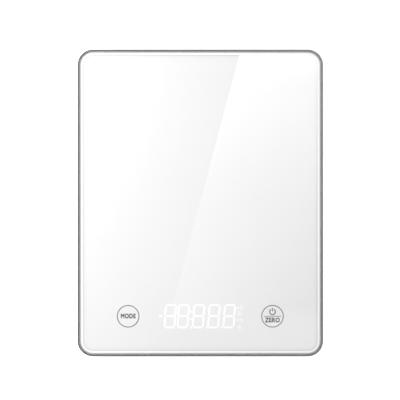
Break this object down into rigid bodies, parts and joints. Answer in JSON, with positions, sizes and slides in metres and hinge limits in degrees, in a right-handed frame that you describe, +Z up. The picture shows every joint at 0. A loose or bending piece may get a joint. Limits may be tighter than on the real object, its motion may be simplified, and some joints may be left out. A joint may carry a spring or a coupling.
{
  "type": "kitchen scale",
  "caption": "Slim flat kitchen scale with a round-cornered glass platform, a hidden display between touch keys at one end, and load-cell feet.",
  "frame": {"origin": "middle of the footprint, on the surface that the feet stand on", "axes": "+Z up out of the glass, +Y along the longer side away from the display and the keys, +X to the user's right"},
  "size_m": [0.16, 0.2, 0.02],
  "materials": {
    "clear_glass": "clear toughened glass with a polished rounded rim",
    "white_print": "white print fired on the back of the glass",
    "silver_paint": "silver-grey satin paint on moulded ABS",
    "white_plastic": "white moulded ABS with a fine texture",
    "grey_rubber": "soft matt silicone",
    "cell_steel": "milled alloy strip",
    "screw_steel": "plated steel",
    "nickel": "nickel-plated spring steel",
    "board_green": "solder mask on glass-fibre board",
    "chip_black": "black moulded epoxy",
    "display_white": "white light box",
    "battery_sleeve": "printed gloss sleeve on a metal can",
    "tape_grey": "foam adhesive tape",
    "sealant": "cured silicone sealant",
    "red_wire": "PVC insulation",
    "black_wire": "PVC insulation",
    "grey_wire": "PVC jacket"
  },
  "bodies": {
    "housing": {"battery_contact_bridge": "nickel", "battery_contact_negative": "nickel", "battery_contact_positive": "nickel", "battery_front": "battery_sleeve", "battery_rear": "battery_sleeve", "battery_spring_front": "nickel", "battery_spring_rear": "nickel", "battery_wire_negative": "black_wire", "battery_wire_positive": "red_wire", "board_screw_left": "screw_steel", "board_screw_right": "screw_steel", "bottom_cover": "white_plastic", "case_screw_front_left": "screw_steel", "case_screw_front_right": "screw_steel", "case_screw_left": "screw_steel", "case_screw_rear_left": "screw_steel", "case_screw_rear_right": "screw_steel", "case_screw_right": "screw_steel", "cell_cable_front_left": "grey_wire", "cell_cable_front_right": "grey_wire", "cell_cable_rear_left": "grey_wire", "cell_cable_rear_right": "grey_wire", "cell_screw_inner_front_left": "screw_steel", "cell_screw_inner_front_right": "screw_steel", "cell_screw_inner_rear_left": "screw_steel", "cell_screw_inner_rear_right": "screw_steel", "cell_screw_outer_front_left": "screw_steel", "cell_screw_outer_front_right": "screw_steel", "cell_screw_outer_rear_left": "screw_steel", "cell_screw_outer_rear_right": "screw_steel", "controller_chip": "chip_black", "display_module": "display_white", "gauge_coating_front_left": "sealant", "gauge_coating_front_right": "sealant", "gauge_coating_rear_left": "sealant", "gauge_coating_rear_right": "sealant", "glass_back_print": "white_print", "glass_plate": "clear_glass", "glass_tape": "tape_grey", "load_cell_front_left": "cell_steel", "load_cell_front_right": "cell_steel", "load_cell_rear_left": "cell_steel", "load_cell_rear_right": "cell_steel", "main_board": "board_green", "top_frame": "silver_paint", "touch_spring_left": "nickel", "touch_spring_right": "nickel"},
    "battery_door": {"battery_door": "white_plastic"},
    "foot_front_left": {"foot_cup_front_left": "white_plastic", "foot_pad_front_left": "grey_rubber", "foot_screw_front_left": "screw_steel"},
    "foot_front_right": {"foot_cup_front_right": "white_plastic", "foot_pad_front_right": "grey_rubber", "foot_screw_front_right": "screw_steel"},
    "foot_rear_left": {"foot_cup_rear_left": "white_plastic", "foot_pad_rear_left": "grey_rubber", "foot_screw_rear_left": "screw_steel"},
    "foot_rear_right": {"foot_cup_rear_right": "white_plastic", "foot_pad_rear_right": "grey_rubber", "foot_screw_rear_right": "screw_steel"}
  },
  "joints": [
    {"name": "battery_door_hinge", "type": "hinge", "parent": "housing", "child": "battery_door", "pos_m": [0, 0.023, 0.0044], "axis": [1, 0, 0], "range_deg": [0, 95]},
    {"name": "foot_front_left_travel", "type": "slide", "parent": "housing", "child": "foot_front_left", "axis": [0, 0, 1], "range_m": [0, 0.00025], "stiffness_N_per_m": 50000, "deforming": ["load_cell_front_left", "gauge_coating_front_left"]},
    {"name": "foot_front_right_travel", "type": "slide", "parent": "housing", "child": "foot_front_right", "axis": [0, 0, 1], "range_m": [0, 0.00025], "stiffness_N_per_m": 50000, "deforming": ["load_cell_front_right", "gauge_coating_front_right"]},
    {"name": "foot_rear_left_travel", "type": "slide", "parent": "housing", "child": "foot_rear_left", "axis": [0, 0, 1], "range_m": [0, 0.00025], "stiffness_N_per_m": 50000, "deforming": ["load_cell_rear_left", "gauge_coating_rear_left"]},
    {"name": "foot_rear_right_travel", "type": "slide", "parent": "housing", "child": "foot_rear_right", "axis": [0, 0, 1], "range_m": [0, 0.00025], "stiffness_N_per_m": 50000, "deforming": ["load_cell_rear_right", "gauge_coating_rear_right"]}
  ]
}
